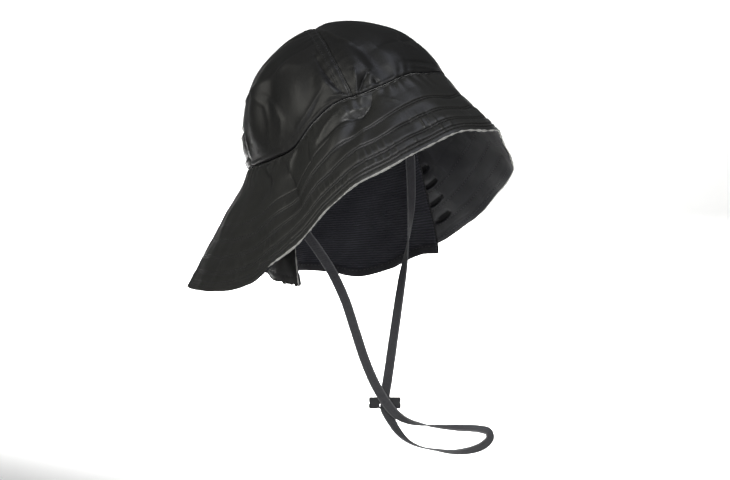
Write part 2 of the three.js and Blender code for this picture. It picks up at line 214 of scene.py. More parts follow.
# %% Chin strap route
STRAP_HEADING = -50
STRAP_WIDTH = 8.5
STRAP_STEPS = 624
STRAP_POINTS = np.array([  # across, away, height, turn
    (-38, -58, -2, 60), (-44, -51, -33, 30), (-44.5, -44.5, -62, 10), (-37, -40, -82, 10),
    (-26, -36.5, -98.5, 5), (-14.5, -32.5, -117.5, 0), (-3.5, -27, -142, 0), (5, -21.5, -169, 0),
    (13.5, -16.5, -196, 0), (23, -12.5, -219, 0), (32, -10.5, -234.5, 0), (40.5, -10.3, -244.5, 22),
    (50, -9.5, -250.5, 48), (61, -9, -253.5, 65), (73, -8.5, -255.4, 90), (92, -8, -256.9, 112),
    (113, -8, -258.2, 122), (120.5, -7.5, -260.8, 135), (121.7, -7.5, -266.2, 150), (117, -7, -272, 160),
    (108.5, -7, -276, 150), (93, -6.5, -278.6, 128), (75, -6, -276.8, 108), (62, -5.5, -274.3, 98),
    (51.6, -5.5, -269.5, 84), (42.8, -5.5, -261.2, 55), (36, -6, -250.5, 30), (31, -6.6, -240.5, 0),
    (31, -6.8, -238.1, 0), (31, -9.2, -236.1, 0), (31, -9.2, -233.9, 0), (31, -6.8, -231.9, 0),
    (31, -6.4, -229, 0), (33.5, -1.5, -214, -4), (39.5, 8.5, -174, -18), (46, 18.5, -131.5, -40),
    (51, 25.5, -102, -85), (54, 32.5, -69.5, -140), (54, 38.5, -42, -165), (52.5, 46, -8, -200),
])


def strap_world(places):
    """Places on the strap's own axes, turned about the plumb line by the strap's heading."""
    c, s = math.cos(STRAP_HEADING * DEGREE), math.sin(STRAP_HEADING * DEGREE)
    x, y, z = places[..., 0], places[..., 1], places[..., 2]
    return np.stack([c * x - s * y, s * x + c * y, z], -1)


def strap_path(steps):
    """Places, directions and turns along the centripetal curve through the points. Between two points it is a
    cubic whose end slopes weigh the neighbours by the square root of their distance."""
    p = STRAP_POINTS[:, :3]
    p = np.vstack([2 * p[0] - p[1], p, 2 * p[-1] - p[-2]])
    gap = np.sqrt(np.linalg.norm(np.diff(p, axis=0), axis=1))[:, None]
    share = np.linspace(0, len(STRAP_POINTS) - 1, steps + 1)
    i = np.minimum(share.astype(int), len(STRAP_POINTS) - 2)
    t = (share - i)[:, None]
    a, b, c, d = p[i], p[i + 1], p[i + 2], p[i + 3]
    g0, g1, g2 = gap[i], gap[i + 1], gap[i + 2]
    start = ((b - a) / g0 - (c - a) / (g0 + g1) + (c - b) / g1) * g1
    end = ((c - b) / g1 - (d - b) / (g1 + g2) + (d - c) / g2) * g1
    slope = (b - c) * (6 * t**2 - 6 * t) + start * (3 * t**2 - 4 * t + 1) + end * (3 * t**2 - 2 * t)
    turn = np.interp(share, np.arange(len(STRAP_POINTS)), STRAP_POINTS[:, 3])
    return cubic(t, b, c, start, end), unit(slope), turn


# %% Chin strap
def tape_section(width, half=0.6, selvedge=0.12):
    """A flat tape's outline: thin in the middle, with a slightly thicker selvedge along each side."""
    across = np.sin(np.linspace(-0.5, 0.5, 13) * math.pi) * width / 2
    edge = np.abs(across) / (width / 2)
    out = np.where(edge > 0.99, 0.0, half + selvedge * bell(edge - 0.86, 0.09))
    top = np.stack([across, out], 1)
    return np.vstack([top, top[1:-1][::-1] * [1, -1]])


place, along, turn = strap_path(STRAP_STEPS)
broad = unit(np.cross([0.0, 1.0, 0.0], along))
angle = (turn * DEGREE)[:, None]
broad = broad * np.cos(angle) + np.cross(along, broad) * np.sin(angle)
thick = np.cross(along, broad)
strap_line = strap_world(place)
chin_strap = sweep_mesh(
    "chin_strap_tape", strap_line, strap_world(broad), strap_world(thick), tape_section(STRAP_WIDTH),
)
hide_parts("chin_strap")
strap_length = run(strap_line)[-1]
print(f"the tape is {strap_length:.0f} mm long")

# %% [markdown]
# ## The slider
# The slider is a small moulded plate with two slots, on which the tape grips. A moulder rounds every edge so that
# it leaves the mould. Each half of the plate is a ring round one slot, and the two halves share the middle bar.

# %% Slider
SLIDER_PLACE = np.array([30.8, -8, -235.0])
SLIDER_WIDTH, SLIDER_HEIGHT = 27.5, 10.0
SLOT_SIZE, SLOT_RISE = (9.0, 2.8), 2.1
SLOT_CORNER, RIM_CORNER = 0.6, 1.4
OVERLAP = 0.1


def rounded_rectangle(width, height, corner, steps):
    """Places on a rounded rectangle: each quarter is an arc about the centre of its corner."""
    a = np.linspace(0, 2 * math.pi, steps, endpoint=False) + math.pi / steps
    x = np.sign(np.cos(a)) * (width / 2 - corner) + corner * np.cos(a)
    z = np.sign(np.sin(a)) * (height / 2 - corner) + corner * np.sin(a)
    return np.stack([x, np.zeros(steps), z], 1)


def window(side, steps=64, rows=13):
    """Half the plate, a ring round its slot: places run from the slot's outline to the half plate's, and the two
    faces come together towards both edges along a rounded line."""
    slot = rounded_rectangle(*SLOT_SIZE, SLOT_CORNER, steps) + [0, 0, side * SLOT_RISE]
    rim = rounded_rectangle(SLIDER_WIDTH, SLIDER_HEIGHT / 2 + OVERLAP, RIM_CORNER, steps)
    rim = rim + [0, 0, side * (SLIDER_HEIGHT / 4 - OVERLAP / 2)]
    share = (0.5 - 0.5 * np.cos(np.linspace(0, math.pi, rows)))[:, None, None]
    middle = slot * (1 - share) + rim * share + SLIDER_PLACE
    half = (0.2 + 0.42 * np.sqrt(1 - np.abs(2 * share - 1) ** 4)) * [0, 1, 0]
    return strap_world(middle - half), strap_world(middle + half), wrap(middle[..., [0, 2]])


slider_upper, slider_lower = [
    sheet_mesh(name, *window(side), ring=True)
    for name, side in (("slider_upper_half", 1), ("slider_lower_half", -1))
]
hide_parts("strap_slider")

# %% [markdown]
# ## The pattern of the hat
# A cutter draws the hat from a few lengths at a few angles round the head: how high the seam runs, how full the
# crown is, how long the brim is and how steeply it falls. A smooth curve through such rows gives every place
# between them. Angles run from the front, 0, over the wearer's right, 90, to the back, 180.

# %% Rows of the pattern
HEAD_LENGTH = 200
HEAD_WIDTH = 156
TIP_BACK = 32
APEX_Y = -11
APEX_HEIGHT = 91
APEX_HOLE = 0.4
GAP = 0.3
THIRTY = np.arange(0, 360, 30)
FIFTEEN = np.arange(0, 360, 15)


def both_sides(values):
    """Rows from the front to the back, and back again over the other side."""
    return np.array(values + values[-2:0:-1], float)


def ringed(angles, values):
    """A ring's rows, repeated one turn before and after so that a curve through them closes."""
    return np.concatenate([angles - 360, angles, angles + 360]), np.tile(values, 3)


SEAM_RISE = ringed(FIFTEEN, both_sides([-1, 1, -1, -1, 2, -3, -11, -7, 0, 7, 12, 12, 11]))
FULLNESS = ringed(THIRTY, both_sides([1.37, 1.32, 1.12, 0.88, 0.77, 0.98, 1.03]))
BRIM_LENGTH = ringed(THIRTY, np.array([77, 75, 87, 96, 116, 114, 103, 111, 110, 93, 93, 72], float))
BRIM_SLOPE = ringed(THIRTY, np.array([67, 68, 65, 61, 56, 38, 28, 38, 52, 58, 67, 73], float))


def read(rows, angle):
    """The value at each angle on a smooth curve: cubic between two rows, each row's slope set by its neighbours."""
    a, v = rows
    angle = np.asarray(angle, float)
    i = np.clip(np.searchsorted(a, angle, side="right") - 1, 0, len(a) - 2)
    before, after = np.maximum(i - 1, 0), np.minimum(i + 2, len(a) - 1)
    width = a[i + 1] - a[i]
    t = np.clip((angle - a[i]) / width, 0, 1)
    low = (v[i + 1] - v[before]) / (a[i + 1] - a[before]) * width
    high = (v[after] - v[i]) / (a[after] - a[i]) * width
    return cubic(t, v[i], v[i + 1], low, high)


# %% [markdown]
# ## Soft folds
# The cloth is stiff with its coating, so it bends in broad folds. Each fold is a ridge, or a dent with a negative
# depth: its height rises and falls as half a sine on its way and fades to the sides as a bell curve. These are the
# folds of the solids, so the dressed hat keeps their shape.

# %% Folds of the solids
CROWN_FOLDS = [  # angle, lean, from, to, width, depth
    (116, -18, 0.08, 0.62, 7, 3), (104, -14, 0.05, 0.55, 6, -2.5), (72, -10, 0, 0.4, 6, -2.5),
    (38, 4, 0, 0.42, 6, 3), (28, 6, 0, 0.36, 6, -3), (24, 0, 0.5, 0.97, 12, 2), (165, 12, 0.05, 0.6, 8, -2.5),
    (205, -10, 0.05, 0.55, 8, 2.5), (262, 12, 0.05, 0.6, 8, -3), (322, -6, 0, 0.45, 7, -2.5),
]
BRIM_FOLDS = [
    (42, 22, 0.02, 0.62, 6, -3), (56, 12, 0.05, 0.6, 6, 2.5), (96, -4, 0.05, 0.75, 6, -3),
    (128, 4, 0.1, 0.9, 9, 2.5), (172, 6, 0.2, 1.3, 10, -2), (214, -4, 0.1, 1.2, 9, 2.5),
    (258, 8, 0.1, 1.1, 8, -2.5), (312, -8, 0.1, 1, 8, 2.5),
]


def around(angle):
    """An angle brought between -180 and 180."""
    return (angle % 360 + 540) % 360 - 180


def fold_height(folds, angle, share):
    """The sum of the folds: depth times a half sine along the fold times a bell curve across it."""
    height = np.zeros(np.broadcast(angle, share).shape)
    for at, lean, low, high, width, depth in folds:
        along = np.clip((share - low) / (high - low), 0, 1)
        aside = around(angle - at - lean * along)
        height += depth * np.sin(math.pi * along) * bell(aside, width)
    return height


def outward(angle):
    """The level direction away from the head, at right angles to the oval."""
    a = angle * DEGREE
    return unit(np.stack([-np.sin(a) / HEAD_WIDTH, -np.cos(a) / HEAD_LENGTH, np.zeros_like(a)], -1))


def tipped(places):
    """Places turned about the X axis so that the front rises and the crown leans back."""
    c, s = math.cos(TIP_BACK * DEGREE), math.sin(TIP_BACK * DEGREE)
    x, y, z = places[..., 0], places[..., 1], places[..., 2]
    return np.stack([x, y * c + z * s, -y * s + z * c], -1)


def seam(angle):
    """The oval where crown and brim meet, on the level hat."""
    a = angle * DEGREE
    return np.stack([-HEAD_WIDTH / 2 * np.sin(a), -HEAD_LENGTH / 2 * np.cos(a), read(SEAM_RISE, angle)], -1)


# %% [markdown]
# ## Creases and puckers
# Coated cotton keeps sharp creases where it was folded, and every seam draws it into puckers, because the thread
# is a little tighter than the cloth. A crease is a line of given places on the cloth. The cloth is bent sharply
# along the line and straightens out to both sides, so the height falls off exponentially, at a pace of its own on
# each side, and only the fold line itself is rounded. The small unevenness is a sum of waves of one length in
# seeded random directions, which looks like cloth and is the same on each run.

# %% Unevenness
def rumple(places, length, seed, count=18):
    """A smooth random field with a spread of about 1: plane waves of about one wavelength, in mm, added up."""
    chance = np.random.default_rng(seed)
    way = chance.normal(size=(count, 3))
    way = unit(way) * 2 * math.pi / length * chance.uniform(0.7, 1.4, (count, 1))
    return np.cos(places @ way.T + chance.uniform(0, 2 * math.pi, count)).sum(-1) * math.sqrt(2 / count)


def smooth(value, low, high):
    """0 under low, 1 over high and an even S-shaped step between them."""
    t = np.clip((value - low) / (high - low), 0, 1)
    return t * t * (3 - 2 * t)


def crease_height(creases, angle, share, place):
    """The sum of the creases at each angle and share, which place turns into distances in mm on the cloth. The
    height falls off exponentially with the distance from a crease's line, at a pace of its own on each side, over a
    fold line that is rounded by 0.5 mm, and it fades to the line's ends."""
    across, down = place(angle, share)
    height = np.zeros(across.shape)
    for line, left_width, right_width, depth in creases:
        x, y = place(*np.array(line, float).T)
        reach = run(np.stack([x, y], 1))
        nearest, along, side = np.full(across.shape, 1e9), np.zeros(across.shape), np.zeros(across.shape)
        for k in range(len(x) - 1):
            dx, dy = x[k + 1] - x[k], y[k + 1] - y[k]
            t = np.clip(((across - x[k]) * dx + (down - y[k]) * dy) / (dx * dx + dy * dy), 0, 1)
            off_x, off_y = across - x[k] - t * dx, down - y[k] - t * dy
            off = np.hypot(off_x, off_y)
            along = np.where(off < nearest, reach[k] + t * (reach[k + 1] - reach[k]), along)
            side = np.where(off < nearest, dx * off_y - dy * off_x, side)
            nearest = np.minimum(nearest, off)
        fade = np.sin(math.pi * np.clip(along / reach[-1], 0.06, 0.94)) ** 0.6
        width = np.where(side > 0, left_width, right_width)
        height += depth * fade * np.exp(-(np.hypot(nearest, 0.5) - 0.5) / width)
    return height


CROWN_CREASES = [  # (angle, share of the climb) from the brim seam up, width on the left and on the right, depth
    ([(-40, 0.28), (-38, 0.5), (-36, 0.74)], 14, 14, -2),
    ([(33, 0.31), (36, 0.36), (41, 0.46), (47, 0.66)], 3.5, 2.2, 1.3),
    ([(52.5, 0.01), (56, 0.09), (58.5, 0.22), (60, 0.38)], 2.8, 2, -2.1),
    ([(55.5, 0.04), (60, 0.14), (62, 0.24)], 1.6, 4, 1.5),
    ([(52, 0.01), (56, 0.03), (61, 0.05)], 1.2, 1.4, 0.9),
    ([(54, 0.01), (59, 0.02), (65, 0.03)], 1.2, 1.4, -0.9),
    ([(47, 0.02), (45, 0.09), (43, 0.17)], 3, 3.4, 2.6),
    ([(45.5, 0.02), (42, 0.07), (38, 0.1), (35, 0.105)], 1.6, 1.3, -2.3),
    ([(34.5, 0.01), (36, 0.06)], 1.2, 1.4, -1.3),
    ([(-11, 0.01), (-2, 0.03), (10, 0.05)], 2, 1.2, 1.1),
    ([(-14, 0.05), (0, 0.08), (16, 0.09)], 1.6, 3, -1),
    ([(26, 0.24), (6, 0.27), (-22, 0.25)], 9, 9, -2.4),
    ([(-5, 0.17), (3, 0.25), (-3, 0.33)], 1.6, 2.4, 1.2),
    ([(94, 0.09), (90, 0.16), (92, 0.26), (98, 0.35)], 1.5, 4, 1.5),
    ([(103, 0.07), (100, 0.18), (100, 0.3), (114, 0.47)], 4, 1.8, 1.2),
    ([(86, 0.05), (76, 0.055), (63, 0.115)], 1.4, 4.5, 1.7),
    ([(127, 0.03), (124, 0.13), (126, 0.22)], 2, 2.4, 1.2),
    ([(53, 0.62), (77, 0.7), (101, 0.74)], 3, 3, -0.7),
    ([(68, 0.34), (78, 0.42), (90, 0.44)], 7, 4, 0.8),
    ([(262, 0.06), (256, 0.2), (262, 0.36)], 2.2, 3, -1.6),
    ([(300, 0.03), (294, 0.13), (284, 0.2)], 2, 1.6, -1.4),
    ([(314, 0.02), (321, 0.12), (326, 0.25)], 1.8, 2.6, -1.5),
    ([(205, 0.04), (198, 0.2), (202, 0.42)], 2.6, 3, -1.5),
    ([(165, 0.05), (172, 0.25), (168, 0.44)], 1.8, 3.4, 1.4),
    ([(155, 0.03), (161, 0.15), (158, 0.3)], 2.2, 1.6, -1.4),
    ([(226, 0.03), (219, 0.13), (212, 0.22)], 1.6, 2, -1.4),
    ([(240, 0.5), (262, 0.42), (280, 0.46)], 5, 3, 1),
]
BRIM_CREASES = [  # (angle, share of the way to the rim) from the crown out, width on the left and on the right
    ([(40, 0.03), (44, 0.17), (50, 0.24), (57, 0.24), (63, 0.26), (73, 0.28)], 3.4, 2, -2.2),
    ([(58, 0.12), (67, 0.18), (73, 0.23)], 2.6, 4, 2.2),
    ([(46, 0.16), (55, 0.17)], 2.4, 2.4, 1),
    ([(36, 0.16), (30, 0.3)], 2, 2.6, 0.7),
    ([(51, 0.36), (52, 0.5), (58, 0.72)], 5, 3, 1.1),
    ([(87, 0.02), (93, 0.1), (95, 0.2)], 2.4, 3, 1.2),
    ([(97, 0.08), (92, 0.38), (88, 0.62)], 2.4, 5, -1.4),
    ([(78, 0.1), (80, 0.25), (79, 0.4)], 2.4, 4, -0.9),
    ([(20, 0.42), (23, 0.66), (25, 0.82)], 2, 3.6, -0.5),
    ([(31, 0.5), (32, 0.74)], 2, 3.6, -0.5),
    ([(116, 0.02), (107, 0.17), (105, 0.3)], 2.6, 1.8, -1.3),
    ([(135, 0.2), (138, 0.47), (138, 0.7)], 6, 6, 0.9),
    ([(158, 0.1), (163, 0.4), (160, 0.75)], 3, 6, -0.9),
    ([(196, 0.05), (192, 0.3), (196, 0.6)], 3, 5, -1.2),
    ([(236, 0.05), (242, 0.3), (240, 0.6)], 2.4, 4.5, -1.5),
    ([(270, 0.04), (274, 0.2), (270, 0.4)], 2, 3.4, -1.3),
    ([(301, 0.05), (294, 0.25), (296, 0.5)], 2.4, 3.4, -1.4),
    ([(330, 0.05), (337, 0.3), (334, 0.6)], 2, 3.4, -1),
]

# %% [markdown]
# ## The crown
# Four gores of coated cotton make the crown. At each seam one gore is folded over the other and sewn down twice,
# which leaves a strip 7 mm wide with two sunk rows of stitches. A gore is a grid over the angle round the head and
# the share of the climb from the brim seam to the apex: the seam's oval shrinks as the cosine of the climb, raised
# to the fullness, and the height grows as its sine.

# %% Crown surface
GORES = {"front": (-50, 50), "right": (50, 130), "back": (130, 230), "left": (230, 310)}
GORE_CLOTH = 1.5
GORE_BULGE = 2.5
GORE_COLUMNS, GORE_ROWS = 141, 101
CLIMB = 150
CROWN_SHADE_LINE, BRIM_SHADE_LINE = 0.8, 1.0  # mm at the seam painted with the dark back, a painted shade line
PUCKER_PITCH = 10.5
CROWN_DEGREE = 1.4  # mm of cloth to a degree at the crown's foot, as the creases measure it
CROWN_UV = 1.5  # mm to a degree on the UV map
STRIP = 7.2
GORE_ROWS_SEWN = (1.5, 6.0)


def crown_place(angle, share, bulge):
    """The crown's smooth outer face and the direction straight out from the middle of the head."""
    low = seam(angle)
    fullness = read(FULLNESS, angle)
    reach = np.hypot(low[..., 0], low[..., 1] - APEX_Y)
    highest = np.arccos((APEX_HOLE / reach) ** (1 / fullness))
    climb = share * highest
    shrink, lift = np.cos(climb) ** fullness, np.sin(climb)
    y = low[..., 1] * shrink + APEX_Y * (1 - shrink)
    place = np.stack([low[..., 0] * shrink, y, low[..., 2] * (1 - lift) + APEX_HEIGHT * lift], -1)
    way = unit(place - [0, APEX_Y, 0])
    return place + way * (fold_height(CROWN_FOLDS, angle, share) + bulge)[..., None], way, reach * shrink


def gore_place(gore, across, share):
    """A place on a gore at a share of the way across it, and the way out there, both tipped. The smooth crown gets
    the felled strip at the gore's first edge, its sunk rows of stitches, puckers, creases and unevenness."""
    first, last = GORES[gore]
    angle = first + (last - first) * across
    bulge = GORE_BULGE * np.sin(math.pi * across) * np.sin(math.pi * share)
    place, way, reach = crown_place(angle, share, bulge)
    start, end, rise = (angle - first) * DEGREE * reach, (last - angle) * DEGREE * reach, share * CLIMB
    strip = 0.55 * (1 - smooth(start, STRIP - 0.4, STRIP + 0.5))
    sunk = sum(0.45 * bell(start - row, 0.55) for row in GORE_ROWS_SEWN)
    rolled = 0.6 * np.exp(-start / 0.7) + 0.8 * np.exp(-end / 1.2)
    rolled += 1.5 * np.exp(-rise / 0.6) - 0.7 * bell(rise - 2, 1.8)
    drift = rumple(place, 34, 3)
    beside = np.exp(-np.maximum(start - STRIP, 0) / 7) + np.exp(-end / 7)
    puckers = 0.16 * beside * np.sin(2 * math.pi * rise / PUCKER_PITCH + 1.6 * drift) * smooth(rise, 4, 14)
    sitting = 0.7 * np.exp(-rise / 11) * np.sin(around(angle) * 0.78 + 1.9 * drift)
    sitting *= smooth(rumple(place, 70, 5), -0.8, 1)
    uneven = 0.4 * rumple(place, 52, 7) + 0.07 * rumple(place, 19, 8) * smooth(rumple(place, 60, 9), -0.4, 1.2)
    uneven *= smooth(rise, 0, 5) * smooth(np.minimum(start, end), 0, 6)

    def on_gore(angle, share):
        return around(angle - (first + last) / 2) * CROWN_DEGREE * (1 - share * 0.45), share * CLIMB

    creases = 1.3 * crease_height(CROWN_CREASES, angle, share, on_gore)
    height = (strip - sunk - rolled + puckers + sitting + creases + uneven) * (1 - smooth(share, 0.93, 1))
    return tipped(place + way * height[..., None]), tipped(way)


def dense_edges(count, power=0.75):
    """Shares from 0 to 1 that lie closer together near both ends, a blend of even steps and a cosine."""
    even = np.linspace(0, 1, count)
    return even * (1 - power) + (0.5 - 0.5 * np.cos(math.pi * even)) * power


# %% Crown gores
crown = {}
for gore, (first, last) in GORES.items():
    across, share = np.meshgrid(dense_edges(GORE_COLUMNS), np.linspace(0, 1, GORE_ROWS) ** 1.35)
    reach = crown_place(first + (last - first) * across, share, 0.0)[2]
    edge = GAP / 2 / np.maximum(reach, 0.5) / DEGREE / (last - first)
    inside = edge + (1 - 2 * edge) * across
    outer, way = gore_place(gore, inside, share)
    measure = np.stack([(first + (last - first) * across) * CROWN_UV, share * CLIMB], -1)
    crown[gore] = sheet_mesh(f"crown_{gore}", outer, outer - way * GORE_CLOTH, measure)
    # The gore's foot at the seam is painted with the dark back: a painted shade line along the seam.
    paint_back_as_shade(crown[gore], share * CLIMB < CROWN_SHADE_LINE)
    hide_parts(f"crown_gore_{gore}")

# %% [markdown]
# ## The brim
# The brim is two layers: coated cotton above and a matt facing under it. They are sewn together in rows that
# follow the rim, close together at the edge and then about 15 mm apart, which stiffens it so that it sheds water
# behind the neck. Between the rows the layers puff up a little. The facing is joined from pieces under the ears,
# and there the join stands open in four short gaps between the rows; their hollows are painted with the dark back
# of the upper cloth, as painted shade. At the crown seam the cloth is turned in, and that strip is painted with the
# dark back as a painted shade line. The grid's rows sit at set distances from the rim, so that each sewn row has
# grid lines of its own, and its columns lie closer at the folds and gaps.

# %% Brim surface
BRIM_CLOTH = 1.2
FACING_DEPTH = 1.5
FACING_CLOTH = 1.2
BRIM_ROWS_SEWN = (4.5, 8.0, 15.0, 17.3, 29.5, 31.8, 45.0, 47.3, 60.0)
UNDER_ROWS_SEWN = BRIM_ROWS_SEWN[:8:2]  # of each pair, the row that shows on the facing
CHANNELS = (0, 6.2, 16.2, 30.6, 46.2, 60.0, 74.0)
SEAM_ROW_SEWN = 2.3
PINCH_PITCH = 8.2
BRIM_DEGREE = 1.9  # mm of cloth to a degree at the head, as the creases measure it
BRIM_UV = 2.2  # mm to a degree on the UV map
SET_ROWS, ROW_SPACING = 64, 2.6  # grid rows at set distances reach this far in from the rim
UPPER_ROWS = 22
SLOTS = [  # (angle, share of the way to the rim), width to both sides, depth
    ([(257, 0.35), (260, 0.335), (263.4, 0.323), (268.6, 0.3)], 3, 3, 1),
    ([(254, 0.5), (257.3, 0.487), (262, 0.472), (268, 0.455)], 3, 3, 1),
    ([(251.5, 0.675), (254.9, 0.657), (258.4, 0.637), (263.4, 0.61)], 3, 3, 1),
    ([(249, 0.828), (252.2, 0.822), (255.7, 0.814), (260.6, 0.798)], 3, 3, 1),
]
SLOT_ROW = [([(266, 0.28), (264, 0.4), (261.5, 0.56), (258.5, 0.72), (256, 0.86)], 10, 9, 1)]


def row_weight(row, length):
    """How strongly a sewn row shows: the innermost only where the brim is long."""
    return smooth(length - row, 24, 38) if row > 50 else np.ones_like(length)


def on_brim(angle, share):
    """Distances round the brim and down from the seam."""
    return around(angle - 180) * BRIM_DEGREE, share * read(BRIM_LENGTH, angle)


def on_join(angle, share):
    """The same on a brim of an even 100 mm, on which the join is laid out alike on both sides of the hat."""
    return np.abs(around(angle - 180)) * BRIM_DEGREE, share * 100


def slot_share(angle, share):
    """1 inside the four gaps where the facing's join stands open between the sewn rows, and 0 outside."""
    return smooth(crease_height(SLOTS, angle, share, on_join), 0.38, 0.56)


def brim_place(angle, inset, face):
    """A place of the brim at a distance in from the rim, and the way up from the cloth, both tipped. Face is
    'upper', 'facing', or a depth in mm for the plain layers between."""
    length = read(BRIM_LENGTH, angle)
    slope = (read(BRIM_SLOPE, angle) * DEGREE)[..., None]
    inset = np.minimum(inset, length)
    share = 1 - inset / length
    from_seam = share * length
    out = outward(angle)
    way_up = np.sin(slope) * out + np.cos(slope) * PLUMB
    place = seam(angle) - GAP * PLUMB + (np.cos(slope) * out - np.sin(slope) * PLUMB) * from_seam[..., None]
    height = fold_height(BRIM_FOLDS, angle, share)
    height += 1.3 * crease_height(BRIM_CREASES, angle, share, on_brim)
    height += smooth(from_seam, 0, 9) * (0.6 * rumple(place, 48, 21) + 0.16 * rumple(place, 21, 22))
    drift = rumple(place, 40, 23)
    sewn = sum(row_weight(row, length) * bell(inset - row, 0.5) for row in BRIM_ROWS_SEWN)
    puff = np.zeros(angle.shape)
    for near, far in zip(CHANNELS[:-1], CHANNELS[1:]):
        puff += np.sin(math.pi * np.clip((inset - near) / (far - near), 0, 1)) ** 0.8 * (1 if far < 61 else 0.4)
    pinch = math.pi * around(angle - 180) * BRIM_DEGREE * 1.15 / PINCH_PITCH
    ripples = np.sin(2 * pinch + 2.1 * drift) * smooth(rumple(place, 30, 24), -0.6, 1)
    pinches = bell(np.sin(pinch + 1.2 * drift), 0.32)
    pinches *= smooth(rumple(place, 26, 25), -0.2, 0.8) * smooth(inset, 3, 7) * smooth(38 - inset, 0, 10)
    if face == "upper":
        behind = smooth(90 - np.abs(around(angle - 180)), 0, 30)
        height += 0.16 * puff - (1.2 - 0.8 * behind) * sewn + 0.6 * pinches * (1 - sewn)
        height += 0.08 * ripples * puff * smooth(60 - inset, 0, 20)
        height -= 0.4 * bell(from_seam - SEAM_ROW_SEWN, 0.6) + 1.2 * np.exp(-from_seam / 0.7)
        height += 0.45 * bell(from_seam - 1.6, 0.6)
        puckers = np.sin(around(angle) * 0.9 + 2.2 * drift) * np.exp(-np.maximum(from_seam - 3, 0) / 8)
        height += 0.55 * puckers * smooth(from_seam, 0, 3) - 0.35 * np.exp(-inset / 0.9)
    elif face == "facing":
        slot = slot_share(angle, share)
        raised = crease_height(SLOT_ROW, angle, share, on_join)
        height += 1.35 * slot - 1.5 * raised * (1 - slot)
        height -= FACING_DEPTH + FACING_CLOTH + 0.06 * puff * smooth(from_seam, 0, 12)
        height += 0.15 * sewn + 0.05 * ripples * puff + 0.35 * np.exp(-inset / 0.9)
    else:
        height -= face
    return tipped(place + way_up * height[..., None]), tipped(way_up)


def inset_rows():
    """Distances in from the rim, closer together at every sewn row."""
    near_rows = [row + off for row in BRIM_ROWS_SEWN for off in (-1.2, -0.6, 0, 0.6, 1.2)]
    even = np.arange(0, SET_ROWS, ROW_SPACING)
    even = even[np.abs(even[:, None] - np.array(BRIM_ROWS_SEWN)).min(1) > 1.6]
    return np.sort(np.concatenate([even, near_rows, [0.5, 1.0]]))


# %% Brim and its facing
def brim_grid(columns, dense):
    """Angles and insets of a brim grid: even angles and a denser arc, set distances near the rim, then shares of
    the rest that draw together towards the seam."""
    even = np.linspace(0, 360, columns, endpoint=False)
    angle = np.unique(np.round(np.concatenate([even, np.linspace(*dense)]), 3))
    length = read(BRIM_LENGTH, angle)
    limit = np.minimum(SET_ROWS, length * 0.82)
    fixed = inset_rows()[:, None]
    lower = np.where(fixed < 50, np.minimum(fixed, limit * fixed / 50), fixed * (limit / SET_ROWS))
    lower = np.maximum.accumulate(lower, 0)
    share = 1 - (1 - np.linspace(0, 1, UPPER_ROWS + 1)[1:, None]) ** 1.5
    inset = np.vstack([lower, lower[-1] + (length - lower[-1]) * share])
    return np.broadcast_to(angle, inset.shape), inset


def brim_measure(angle, inset):
    """Distances round and in from the rim, with the first column again at the end."""
    return np.stack([np.hstack([angle, angle[:, :1] + 360]) * BRIM_UV, wrap(inset)], -1)


angle, inset = brim_grid(420, (0.4, 110.2, 150))
brim = sheet_mesh(
    "brim_upper", brim_place(angle, inset, "upper")[0], brim_place(angle, inset, BRIM_CLOTH)[0],
    brim_measure(angle, inset), ring=True,
)
# The brim's inner edge at the seam is painted with the dark back: a painted shade line along the seam.
paint_back_as_shade(brim, wrap(read(BRIM_LENGTH, angle) - inset < BRIM_SHADE_LINE))
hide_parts("brim")

angle, inset = brim_grid(360, (250.3, 272.4, 81))
facing = sheet_mesh(
    "brim_underside", brim_place(angle, inset, "facing")[0], brim_place(angle, inset, FACING_DEPTH)[0],
    brim_measure(angle, inset), ring=True,
)
# The four gaps' faces are painted with the dark back: painted shade in the hollows.
paint_back_as_shade(facing, wrap(slot_share(angle, 1 - inset / read(BRIM_LENGTH, angle)) > 0.5))
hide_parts("brim_facing")

# %% [markdown]
# ## The raw edge of the rim
# The upper cloth is cut, not turned, along the rim, so its pale cotton backing shows as a thin line of frayed
# threads. It is a fine cord of uneven thickness laid along the rim's edge. Round the back the coat runs over the
# edge, so there the cord is thinner and dressed as coated cloth.

# %% Raw edge
def edge_cord(name, line, broad, thick, radius):
    """A cord of uneven thickness along a line, a small oval section that swells and thins."""
    a = np.linspace(0, 2 * math.pi, 6, endpoint=False)
    oval = np.stack([np.cos(a) * 0.75, np.sin(a)], -1)
    size = radius * (1 + 0.3 * rumple(line, 5, 31) + 0.2 * rumple(line, 17, 32))
    size = np.clip(size, 0.4 * radius, 1.7 * radius)
    return sweep_mesh(name, line, broad, thick, oval[None] * size[:, None, None])


def rim_cord(name, angle, radius):
    """The part of the rim's edge between two angles, laid a quarter of a millimetre out from the cut cloth."""
    edge, way = brim_place(angle, 0.0, BRIM_CLOTH / 2)
    outwards = unit(edge - brim_place(angle, 2.0, BRIM_CLOTH / 2)[0])
    return edge_cord(name, edge + outwards * 0.25, outwards, way, radius)


rim_edge = rim_cord("rim_raw_edge", np.linspace(-112, 104, 600), 0.68)
rear_edge = rim_cord("rim_rear_edge", np.linspace(105, 247, 400), 0.5)

# %% [markdown]
# ## The flap over ears and neck
# Inside the head opening hangs a flap that keeps the rain off the neck. Its outer cloth is the same coated cotton,
# it is lined with a ribbed knit that is warm on the ears, and a smooth band finishes the hem. It hangs plumb from
# the seam, while the crown is tipped, and its free ends swing towards the face. The grid runs over the angle round
# the head and the share of the way down to the hem.

